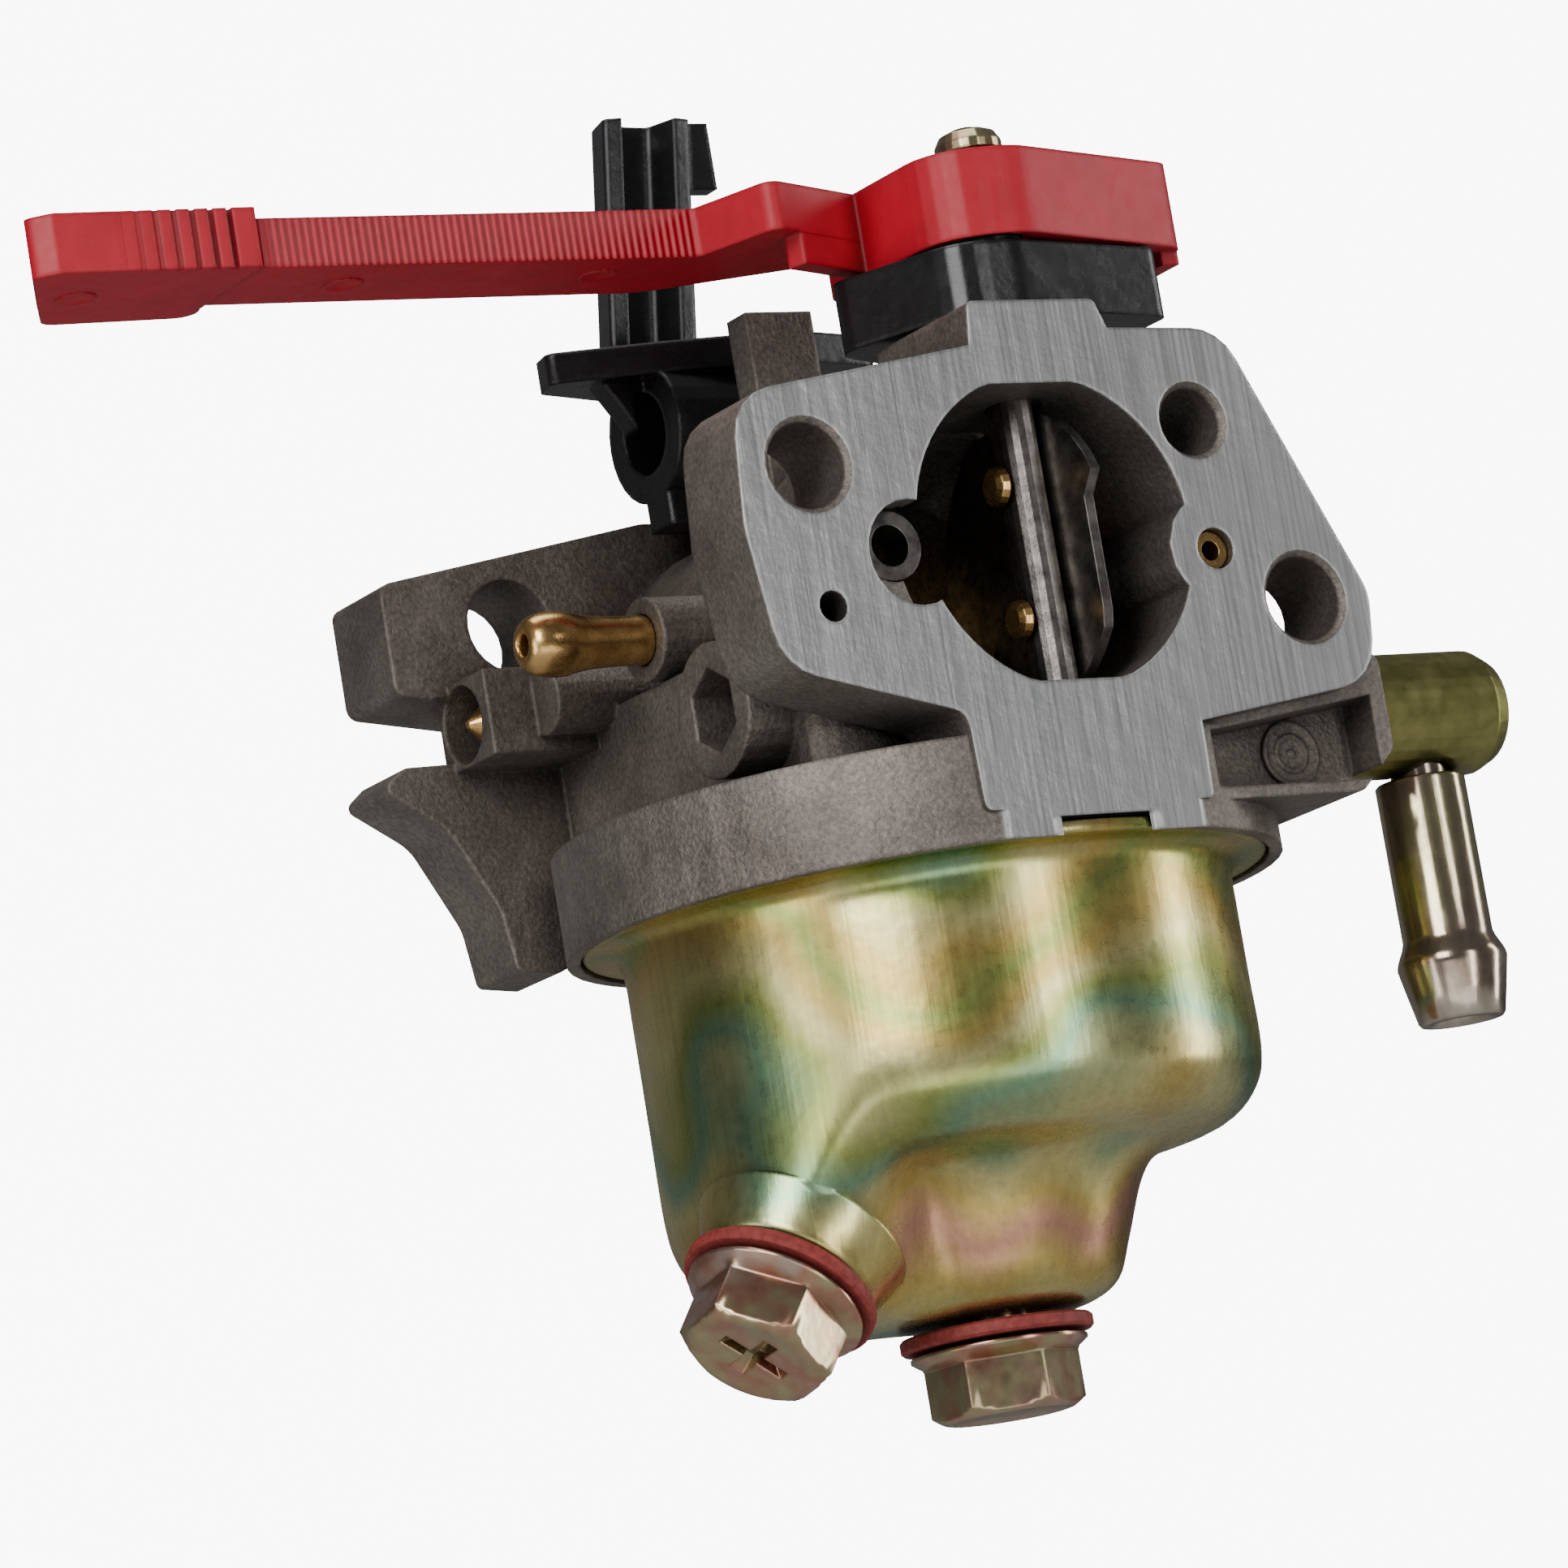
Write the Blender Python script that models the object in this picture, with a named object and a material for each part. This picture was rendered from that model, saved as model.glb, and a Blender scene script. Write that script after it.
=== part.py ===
"""Float-bowl carburetor for a small engine, built from its separate pieces.

Sizes are millimetres, measured from the bore's centre on the air inlet face: +X towards the
fuel inlet, +Y towards the engine, +Z up. Each mesh is scaled to metres when it is made, and the
empty "carburetor" carries the pieces so that the world origin is the bore's centre on the
engine face.
"""
import math

import bmesh
import bpy
from mathutils import Matrix, Vector

MM = 0.001
GAP = 0.3                       # air between pieces that rest on each other

# Driving dimensions
LENGTH = 53.7                   # air inlet face to engine face
FLANGE_DEPTH = 7.6
EAR_FRONT = 45.5                # front of the engine flange
INLET_R = 11.64                 # choke bore, with a flat above and below
INLET_FLAT = 11.0
THROAT_R = 8.2
THROTTLE_R = 8.5
STUD_LEFT = (-19.8, 5.45)       # stud holes run through both flanges
STUD_RIGHT = (20.65, -5.75)
STUD_HOLE_R = 3.2
COVER_HOLE = (13.5, 7.85)       # tapped hole of the air cleaner
AIR_JET = (13.5, -1.8)
LOBE_R = 3.9                    # material around the air jet, standing into the bore
PILOT_JET = (-11.9, 0.2)
CHOKE = (2.5, 6.5)              # choke shaft axis, vertical
CHOKE_SHAFT_R = 2.0
THROTTLE = (0.0, 41.0)          # throttle shaft axis, vertical
THROTTLE_SHAFT_R = 2.5
THROTTLE_REST = math.radians(18)
RUNNING = 0.08                  # radial clearance of a shaft in its hole
BOWL = (0.0, 25.6)              # bowl, column and bowl bolt axis
RIM_R = 25.6
RING_R = 26.9
CUP_R = 22.8
SHEET = 1.0
RIM_TOP = -21.2
BOWL_FLOOR = -53.0
COLUMN_R = 6.0
WASHER = 1.1                    # fibre washer under each bolt head
DRAIN_SEAT = Vector((-19.4, 21.6, -49.0))
DRAIN_AXIS = Vector((-0.61, -0.14, -0.78)).normalized()
HINGE_PIN = (42.4, -24.6)       # float pin, y and z
NEEDLE = (3.0, 34.0)            # inlet needle axis, x and y
FITTING = (10.0, -12.9)         # fuel inlet axis, y and z
FITTING_X = (27.6, 41.8)
HOSE_X = 35.3                   # hose tube axis
NIPPLE = (29.4, 0.1)            # primer nipple axis, y and z
MIXTURE = (44.0, -2.4)          # mixture screw axis, y and z
LEVER_TOP = 29.8
LEVER_UNDER = 26.1
SKIRT_UNDER = 23.2

COLOURS = {
    "casting": ((0.20, 0.18, 0.165), 0.55, 0.75),
    "zinc_yellow": ((0.55, 0.47, 0.22), 0.3, 0.9),
    "zinc_pink": ((0.62, 0.50, 0.42), 0.25, 0.95),
    "brass": ((0.72, 0.47, 0.18), 0.3, 0.95),
    "steel": ((0.45, 0.44, 0.42), 0.35, 0.9),
    "red_plastic": ((0.62, 0.03, 0.05), 0.4, 0.0),
    "black_plastic": ((0.012, 0.012, 0.013), 0.3, 0.0),
    "fibre": ((0.35, 0.04, 0.03), 0.7, 0.0),
    "rubber": ((0.02, 0.02, 0.02), 0.8, 0.0),
    "float_plastic": ((0.10, 0.10, 0.11), 0.5, 0.0),
}


# ---------------------------------------------------------------- helpers

def clear_scene():
    for obj in list(bpy.data.objects):
        bpy.data.objects.remove(obj, do_unlink=True)


def material(name):
    """Principled material of one finish, made once."""
    if name in bpy.data.materials:
        return bpy.data.materials[name]
    colour, roughness, metallic = COLOURS[name]
    mat = bpy.data.materials.new(name)
    mat.use_nodes = True
    shader = mat.node_tree.nodes["Principled BSDF"]
    shader.inputs["Base Color"].default_value = (*colour, 1.0)
    shader.inputs["Roughness"].default_value = roughness
    shader.inputs["Metallic"].default_value = metallic
    return mat


def add_object(name, bm, finish, origin=(0.0, 0.0, 0.0)):
    """Turn a bmesh in millimetres into a named object whose origin is at the given point."""
    bm.normal_update()
    bmesh.ops.recalc_face_normals(bm, faces=bm.faces)
    bmesh.ops.translate(bm, verts=bm.verts, vec=-Vector(origin))
    bmesh.ops.scale(bm, verts=bm.verts, vec=(MM, MM, MM))
    mesh = bpy.data.meshes.new(name)
    bm.to_mesh(mesh)
    bm.free()
    mesh.materials.append(material(finish))
    mesh.shade_smooth()
    mesh.set_sharp_from_angle(angle=math.radians(35))
    obj = bpy.data.objects.new(name, mesh)
    obj.location = Vector(origin) * MM
    obj.parent = bpy.data.objects["carburetor"]
    bpy.context.scene.collection.objects.link(obj)
    return obj


def combine(target, bm, operation):
    """Union or cut another solid, kept as a hidden guide."""
    guide = add_object(f"{target.name}_guide", bm, "casting")
    guide.hide_render = True
    guide.display_type = "WIRE"
    step = target.modifiers.new(operation.lower(), "BOOLEAN")
    step.operation = operation
    step.solver = "EXACT"
    step.object = guide


def add(target, *solids):
    for bm in solids:
        combine(target, bm, "UNION")


def cut(target, *solids):
    for bm in solids:
        combine(target, bm, "DIFFERENCE")


def to_axis(axis):
    """Rotation that carries local +Z to a direction, or to a named axis."""
    named = {"X": Vector((1, 0, 0)), "Y": Vector((0, 1, 0)), "Z": Vector((0, 0, 1))}
    direction = named.get(axis, axis) if isinstance(axis, str) else axis
    return Vector((0, 0, 1)).rotation_difference(direction).to_matrix().to_4x4()


def turned(profile, axis="Z", centre=(0, 0, 0), sides=32):
    """Solid of revolution: profile is (radius, height) pairs, closed at both ends."""
    bm = bmesh.new()
    rings = []
    for radius, height in profile:
        if radius == 0:
            rings.append([bm.verts.new((0, 0, height))])
            continue
        rings.append([bm.verts.new((radius * math.cos(math.tau * i / sides),
                                    radius * math.sin(math.tau * i / sides), height))
                      for i in range(sides)])
    for low, high in zip(rings, rings[1:]):
        for i in range(sides):
            j = (i + 1) % sides
            corners = [low[i % len(low)], low[j % len(low)], high[j % len(high)], high[i % len(high)]]
            distinct = list(dict.fromkeys(corners))
            if len(distinct) > 2:
                bm.faces.new(distinct)
    for ring in (rings[0], rings[-1]):
        if len(ring) > 1:
            bm.faces.new(ring)
    bm.transform(Matrix.Translation(centre) @ to_axis(axis))
    return bm


def rod(radius, low, high, axis="Z", centre=(0, 0, 0), sides=24):
    """Cylinder from low to high along its axis."""
    return turned([(radius, low), (radius, high)], axis, centre, sides)


def tube(outer, inner, low, high, axis="Z", centre=(0, 0, 0), sides=24):
    """Ring with a rectangular section."""
    bm = bmesh.new()
    section = [(outer, low), (outer, high), (inner, high), (inner, low)]
    rings = [[bm.verts.new((r * math.cos(math.tau * i / sides), r * math.sin(math.tau * i / sides), h))
              for i in range(sides)] for r, h in section]
    for ring, following in zip(rings, rings[1:] + rings[:1]):
        for i in range(sides):
            j = (i + 1) % sides
            bm.faces.new((ring[i], ring[j], following[j], following[i]))
    bm.transform(Matrix.Translation(centre) @ to_axis(axis))
    return bm


def box(low, high):
    bm = bmesh.new()
    bmesh.ops.create_cube(bm, size=1.0)
    size = [b - a for a, b in zip(low, high)]
    middle = [(a + b) / 2 for a, b in zip(low, high)]
    bmesh.ops.scale(bm, verts=bm.verts, vec=size)
    bmesh.ops.translate(bm, verts=bm.verts, vec=middle)
    return bm


def rounded(corners, steps=4):
    """Outline from (x, y, radius) corners, each rounded by an arc of that radius."""
    points = []
    count = len(corners)
    for k, (x, y, radius) in enumerate(corners):
        here = Vector((x, y))
        before = (Vector(corners[k - 1][:2]) - here).normalized()
        after = (Vector(corners[(k + 1) % count][:2]) - here).normalized()
        half = math.acos(max(-1.0, min(1.0, before.dot(after)))) / 2
        if radius <= 0 or abs(half - math.pi / 2) < 0.02:
            points.append(here)
            continue
        centre = here + (before + after).normalized() * (radius / math.sin(half))
        start = here + before * (radius / math.tan(half)) - centre
        end = here + after * (radius / math.tan(half)) - centre
        sweep = start.angle_signed(end)
        for i in range(steps + 1):
            points.append(centre + start.copy() @ Matrix.Rotation(sweep * i / steps, 2))
    return points


def plate(outline, low, high, axis="Z"):
    """Extruded outline. Axis Z takes (x, y), axis Y takes (x, z), axis X takes (y, z)."""
    bm = bmesh.new()

    def point(a, b, depth):
        return {"Z": (a, b, depth), "Y": (a, depth, b), "X": (depth, a, b)}[axis]

    bottom = [bm.verts.new(point(p[0], p[1], low)) for p in outline]
    top = [bm.verts.new(point(p[0], p[1], high)) for p in outline]
    bm.faces.new(bottom)
    bm.faces.new(top)
    for i in range(len(outline)):
        j = (i + 1) % len(outline)
        bm.faces.new((bottom[i], bottom[j], top[j], top[i]))
    return bm


def hexagon(across, low, high, axis="Z", centre=(0, 0, 0)):
    return turned([(across / math.sqrt(3), low), (across / math.sqrt(3), high)], axis, centre, 6)


def cross_recess(size, low, high, axis="Z", centre=(0, 0, 0)):
    """Two crossed bars, as a cutter for a cross-head recess."""
    bars = []
    for wide, deep in ((size, size * 0.24), (size * 0.24, size)):
        bar = box((-wide, -deep, low), (wide, deep, high))
        bar.transform(Matrix.Translation(centre) @ to_axis(axis))
        bars.append(bar)
    return bars


def merged(*parts):
    """Several separate solids in one mesh."""
    bm = bmesh.new()
    for part in parts:
        mesh = bpy.data.meshes.new("part")
        part.to_mesh(mesh)
        part.free()
        bm.from_mesh(mesh)
        bpy.data.meshes.remove(mesh)
    return bm


# ---------------------------------------------------------------- casting

def inlet_flange():
    """Outline of the air cleaner face, x and z."""
    return rounded([(-4.3, 17.2, 0.6), (6.6, 17.2, 0.6), (7.4, 15.0, 0), (17.2, 14.8, 4.0),
                    (26.4, -5.6, 4.0), (25.6, -12.2, 4.0), (9.7, -14.5, 0), (9.6, -20.2, 0.4),
                    (-9.9, -20.2, 0.6), (-10.1, -13.0, 1.5), (-24.6, -9.2, 4.0), (-25.9, 1.0, 6.0),
                    (-25.2, 10.7, 4.0), (-4.7, 13.9, 0)])


def engine_flange():
    """Outline of the engine face: a centre pad with an arm to each stud hole."""
    half = [(-30.4, 0.5, 1.0), (-30.4, 9.0, 1.0), (-7.0, 13.0, 3.0), (9.5, 12.6, 4.0), (14.5, 2.0, 2.0)]
    return rounded(half + [(-x, -z, r) for x, z, r in half])


def bracket_arm():
    """Curved arm below the engine flange's left ear, x and z."""
    return rounded([(-32.4, -6.6, 0.6), (-30.4, -5.0, 1.0), (-14.0, -4.6, 0), (-14.0, -19.0, 0),
                    (-20.0, -21.4, 0.6), (-23.4, -21.0, 0.6), (-24.0, -16.4, 4.0), (-27.4, -9.9, 4.0)])


def body_outside(body):
    """Everything the casting adds around the bore."""
    add(body,
        turned([(15.0, 4.0), (14.6, 14.0), (12.6, 24.0), (10.9, 31.0), (10.8, EAR_FRONT + 1)],
               "Y", sides=40),
        plate(engine_flange(), EAR_FRONT, LENGTH, "Y"),
        plate(rounded([(-17.0, 9.0, 3.0), (17.0, 9.0, 3.0), (17.0, EAR_FRONT + 0.7, 0),
                       (-17.0, EAR_FRONT + 0.7, 0)]), -15.2, -3.2),
        rod(RING_R, -22.3, -14.5, centre=(*BOWL, 0), sides=56),
        plate(bracket_arm(), EAR_FRONT + 0.6, LENGTH - 0.9, "Y"))
    add(body,
        box((-4.2, 3.0, 9.0), (6.5, 13.0, 17.1)),
        box((-5.2, 28.4, 8.0), (0.6, 31.2, 24.8)),
        rod(4.7, 8.0, 12.9, centre=(*THROTTLE, 0)),
        rod(4.4, -17.0, -12.0, centre=(*THROTTLE, 0)),
        rod(5.0, -21.0, -8.0, "X", (0, 16.2, -8.4)),
        rod(3.15, -18.0, -8.0, "X", (0, *NIPPLE)),
        box((-26.0, 39.8, -5.6), (-16.0, 47.5, 0.9)),
        rod(2.5, -22.0, -8.0, "X", (0, 38.6, -2.2), sides=16))
    add(body,
        plate(rounded([(9.0, -20.1, 0), (24.0, -20.1, 1.0), (27.3, -17.0, 1.0), (27.3, -9.7, 1.0),
                       (9.0, -9.7, 0)]), 1.6, 19.0, "Y"))


def inlet_bore():
    """Bore outline at the inlet: a circle with two flats, dented by the air jet's lobe."""
    outline = []
    lobe = Vector(AIR_JET)
    for i in range(72):
        angle = math.tau * (i + 0.5) / 72
        height = max(-INLET_FLAT, min(INLET_FLAT, INLET_R * math.sin(angle)))
        point = Vector((INLET_R * math.cos(angle), height))
        if (point - lobe).length < LOBE_R:
            point = lobe + (point - lobe).normalized() * LOBE_R
        outline.append(point)
    return outline


def body_passages(body):
    """Bore, float chamber, stud holes and drillings."""
    cut(body,
        plate(inlet_bore(), -1.0, 13.4, "Y"),
        turned([(11.0, 13.0), (10.6, 14.5), (THROAT_R, 22.0), (THROAT_R, 28.0), (THROTTLE_R, 33.0),
                (THROTTLE_R, LENGTH + 1)], "Y", sides=48),
        rod(3.9, -1.0, 3.4, "Y", (PILOT_JET[0] - 0.2, 0, -1.2)),
        box((-30.0, -6.0, -25.0), (30.0, 0.0, -13.0)))
    seat = RIM_TOP + GAP
    cut(body, turned([(RIM_R + GAP, -23.5), (RIM_R + GAP, seat), (25.0, seat), (25.0, -19.5),
                      (22.7, -19.5), (22.7, seat), (21.6, seat), (21.6, -16.2)],
                     "Z", (*BOWL, 0), 48))
    add(body,
        rod(COLUMN_R, -51.8, -15.8, centre=(*BOWL, 0)),
        box((-0.3, 41.2, -26.2), (6.3, 43.5, -15.9)),
        rod(4.6, -22.0, -15.9, centre=(*NEEDLE, 0)))
    for x, z in (STUD_LEFT, STUD_RIGHT):
        cut(body, rod(3.6, EAR_FRONT - 1.0, LENGTH + 1.0, "Y", (x, 0, z)),
            turned([(4.1, -0.5), (STUD_HOLE_R, 0.4), (STUD_HOLE_R, FLANGE_DEPTH + 1.2)],
                   "Y", (x, 0, z), 24))
    cut(body,
        turned([(3.6, -0.8), (2.55, 0.5), (2.55, 9.0)], "Y", (COVER_HOLE[0], 0, COVER_HOLE[1]), 24),
        rod(1.15, -1.0, 4.5, "Y", (-19.7, 0, -4.9), 16),
        rod(1.55, -1.0, 18.0, "Y", (AIR_JET[0], 0, AIR_JET[1]), 20),
        rod(2.75, 2.0, 9.0, "Y", (PILOT_JET[0], 0, PILOT_JET[1]), 20),
        rod(0.9, 8.0, 16.0, "Y", (PILOT_JET[0], 0, PILOT_JET[1]), 16))
    cut(body,
        rod(CHOKE_SHAFT_R + RUNNING, -13.6, 18.0, centre=(*CHOKE, 0), sides=22),
        rod(3.6, 15.6, 18.0, centre=(*CHOKE, 0)),
        rod(THROTTLE_SHAFT_R + RUNNING, -14.6, 14.0, centre=(*THROTTLE, 0), sides=26),
        rod(3.9, 11.4, 14.0, centre=(*THROTTLE, 0)),
        turned([(3.25, -53.0), (3.25, -38.0), (2.75, -37.9), (2.75, -32.0), (2.3, -31.9),
                (2.3, -4.0)], "Z", (*BOWL, 0), 24))


def body_details(body):
    """Sockets, pockets and the holes of the fitted pieces."""
    cut(body,
        hexagon(5.6, -22.0, -16.0, "X", (0, 16.2, -8.4)),
        rod(1.5, -19.0, -8.0, "X", (0, *NIPPLE), 16),
        rod(1.95, -19.0, -13.4, "X", (0, *NIPPLE), 20),
        rod(3.0, -27.0, -19.2, "X", (0, *MIXTURE)),
        rod(1.75, -19.5, -11.0, "X", (0, *MIXTURE), 20),
        rod(0.9, -11.5, -6.0, "X", (0, *MIXTURE), 12),
        plate([(11.0, -19.2), (26.0, -19.2), (26.0, -12.9), (11.0, -15.0)], -1.0, 5.4, "Y"),
        rod(2.9, 13.0, 29.0, "X", (0, *FITTING), 20))
    cut(body,
        rod(2.1, -18.5, 8.0, "X", (13.2, *FITTING), 16),
        rod(3.1, -23.0, -18.0, centre=(*NEEDLE, 0), sides=20),
        rod(1.3, -18.5, -14.2, centre=(*NEEDLE, 0), sides=12),
        rod(0.75 + RUNNING, -4.0, 12.0, "X", (0, *HINGE_PIN), 16))


def carburetor_body():
    body = add_object("carburetor_body", plate(inlet_flange(), 0.0, FLANGE_DEPTH, "Y"), "casting")
    body_outside(body)
    body_passages(body)
    body_details(body)


# ---------------------------------------------------------------- bowl

def lobe_share(angle):
    """How much of the deep drain lobe the bowl has at an angle: 1 in the lobe, 0 away from it."""
    apart = abs((math.degrees(angle) - 172.0 + 180.0) % 360.0 - 180.0)
    t = max(0.0, min(1.0, (54.0 - apart) / 24.0))
    return t * t * (3 - 2 * t)


STEPPED = [(RIM_R, -21.2), (RIM_R, -22.2), (CUP_R + 1.0, -22.2), (CUP_R, -23.3), (CUP_R, -36.4),
           (22.0, -39.2), (19.6, -41.3), (14.6, -42.6), (12.6, -44.4), (10.9, -48.6), (9.6, -51.6),
           (7.6, -52.7), (5.6, BOWL_FLOOR)]
LOBED = [(RIM_R, -21.2), (RIM_R, -22.2), (CUP_R + 1.0, -22.2), (CUP_R, -23.3), (CUP_R, -42.6),
         (22.4, -45.0), (21.3, -47.0), (19.0, -49.2), (17.0, -50.8), (15.0, -51.9), (12.6, -52.6),
         (9.0, BOWL_FLOOR), (5.6, BOWL_FLOOR)]
INSIDE = [(RIM_R - 3.9, -21.2), (CUP_R - SHEET, -22.2), (CUP_R - SHEET, -23.3)]


def bowl_shell():
    """Pressed cup whose section changes from a stepped one to a deep one around the axis."""
    bm = bmesh.new()
    sides = 56
    rows = []
    for i in range(sides):
        angle = math.tau * i / sides
        share = lobe_share(angle)
        outer = [(a * (1 - share) + c * share, b * (1 - share) + d * share)
                 for (a, b), (c, d) in zip(STEPPED, LOBED)]
        inner = INSIDE + [(max(r - SHEET, 4.6), z + SHEET * 0.8) for r, z in outer[4:]]
        rows.append([bm.verts.new((BOWL[0] + r * math.cos(angle), BOWL[1] + r * math.sin(angle), z))
                     for r, z in outer + inner[::-1]])
    for row, following in zip(rows, rows[1:] + rows[:1]):
        count = len(row)
        for k in range(count):
            n = (k + 1) % count
            bm.faces.new((row[k], row[n], following[n], following[k]))
    return bm


def float_bowl():
    bowl = add_object("float_bowl", bowl_shell(), "zinc_yellow")
    seat = DRAIN_SEAT
    add(bowl, rod(6.6, -3.6, 0.5, DRAIN_AXIS, seat, 32),
        tube(7.4, 3.4, BOWL_FLOOR - 0.4, BOWL_FLOOR + 0.5, centre=(*BOWL, 0), sides=32))
    cut(bowl, rod(3.35, -8.0, 3.0, DRAIN_AXIS, seat, 24))


def bowl_gasket():
    add_object("bowl_gasket", tube(24.6, 23.1, -20.9, -19.8, centre=(*BOWL, 0), sides=48), "rubber")


def flanged_bolt(name, seat, axis, shank_r, shank_len, recess=0.0):
    """Hex flange bolt whose flange face rests at the seat and whose head points along the axis."""
    bolt = add_object(name, turned([(shank_r, -shank_len), (shank_r, 0.1), (6.6, 0.1), (6.6, 0.6),
                                    (5.5, 1.3), (0, 1.3)], axis, seat, 28), "zinc_pink", seat)
    add(bolt, hexagon(10.0, 1.0, 5.4, axis, seat))
    if recess:
        cut(bolt, *cross_recess(recess, 4.0, 6.2, axis, seat))


def bowl_fasteners():
    """Bowl bolt and drain bolt, each with its fibre washer."""
    down = Vector((0, 0, -1))
    base = Vector((*BOWL, BOWL_FLOOR - 0.4 - GAP))
    for name, axis, point, shank, length, recess in (
            ("bowl_bolt", down, base, 2.95, 16.0, 0.0),
            ("drain_bolt", DRAIN_AXIS, DRAIN_SEAT + DRAIN_AXIS * (0.5 + GAP), 2.95, 6.0, 3.4)):
        add_object(f"{name}_washer", tube(7.2, 3.3, 0.0, WASHER, axis, point, 28), "fibre")
        flanged_bolt(name, point + axis * (WASHER + GAP / 2), axis, shank, length, recess)


# ---------------------------------------------------------------- inside the bowl

def float_parts():
    """Horseshoe float with its arm, the pin it swings on, and the inlet needle with its seat."""
    pin = (0.0, *HINGE_PIN)
    buoy = add_object("float", tube(19.6, 9.0, -36.4, -27.4, centre=(*BOWL, 0), sides=36),
                      "float_plastic", pin)
    cut(buoy, box((-3.0, 33.0, -38.0), (9.0, 50.0, -26.0)))
    for low in (-4.6, 8.2):
        add(buoy, box((low, 35.0, -30.2), (low + 2.4, 43.0, -26.9)))
    add(buoy, box((-4.2, 41.0, -28.0), (10.2, 43.6, -26.6)),
        box((1.0, 32.8, -27.5), (5.0, 42.0, -26.5)))
    for low in (-3.8, 6.6):
        add(buoy, tube(1.8, 0.85, low, low + 3.2, "X", (0, *HINGE_PIN), 16),
            box((low + 0.4, 41.6, -27.4), (low + 2.8, 43.2, -25.6)))
    add_object("float_hinge_pin", rod(0.75, -5.2, 11.2, "X", pin, 16), "steel", pin)


def needle_parts():
    """Needle seat pressed in the casting and the needle that the float lifts."""
    centre = (*NEEDLE, 0)
    add_object("needle_seat", tube(2.95, 1.1, -22.2, -18.7, centre=centre, sides=20), "brass")
    add_object("inlet_needle", turned([(1.5, -26.1), (1.5, -23.0), (0.4, -20.9), (0.25, -20.7)],
                                      "Z", centre, 16), "steel", (*NEEDLE, -26.1))


def jets():
    """Main jet and emulsion tube in the column, air jets in the inlet face."""
    column = (*BOWL, 0)
    jet = add_object("main_jet", tube(2.55, 0.6, -37.6, -33.2, centre=column, sides=20), "brass")
    cut(jet, box((-4.0, BOWL[1] - 0.4, -38.5), (4.0, BOWL[1] + 0.4, -36.7)))
    add_object("emulsion_tube", tube(2.1, 1.2, -31.5, -3.6, centre=column, sides=20), "brass")
    add_object("main_air_jet", tube(1.45, 0.75, 0.7, 4.2, "Y", (AIR_JET[0], 0, AIR_JET[1]), 20), "brass")
    add_object("pilot_air_jet", tube(2.6, 1.55, 3.6, 6.8, "Y", (PILOT_JET[0], 0, PILOT_JET[1]), 20),
               "steel")


# ---------------------------------------------------------------- choke

def choke_valve():
    """Choke shaft with a flat for its plate, the offset plate and its two screws."""
    origin = (*CHOKE, 0)
    shaft = add_object("choke_shaft", rod(CHOKE_SHAFT_R, -13.3, 27.0, centre=origin), "steel", origin)
    cut(shaft, box((CHOKE[0] + 0.3, 3.0, -10.9), (CHOKE[0] + 3.0, 10.0, 10.9)),
        box((CHOKE[0] + 0.9, 3.0, 17.8), (CHOKE[0] + 3.0, 10.0, 29.0)),
        *(rod(0.95, -2.5, 2.0, "X", (CHOKE[0], CHOKE[1], z), 12) for z in (-5.0, 5.0)))

    plate_r, top, notch = 11.0, 10.3, 6.2
    outline = []
    for i in range(40):
        angle = math.tau * (i + 0.5) / 40
        along = CHOKE[0] + plate_r * math.cos(angle)
        height = max(-top, min(top, plate_r * math.sin(angle)))
        if along < -notch and abs(height - AIR_JET[1]) < 4.4:
            along = -notch
        outline.append((CHOKE[1] + along, height))
    flat = CHOKE[0] + 0.6
    leaf = add_object("choke_plate", plate(outline, flat, flat + 0.8, "X"), "steel", origin)
    cut(leaf, *(rod(0.95, 0.0, 4.0, "X", (CHOKE[0], CHOKE[1], z), 12) for z in (-5.0, 5.0)))
    for end, z in (("lower", -5.0), ("upper", 5.0)):
        add_object(f"choke_plate_screw_{end}", turned(
            [(0.9, -3.2), (1.4, -2.9), (1.5, -2.3), (0.8, -2.3), (0.8, 1.7)], "X",
            (CHOKE[0], CHOKE[1], z), 16), "brass", origin)


def lever_base_outline():
    return rounded([(-6.6, 15.0, 2.0), (-1.6, 3.9, 4.0), (3.0, 3.3, 4.0), (17.4, 6.2, 1.0),
                    (17.0, 15.0, 3.0), (0.0, 18.0, 3.0)])


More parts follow.
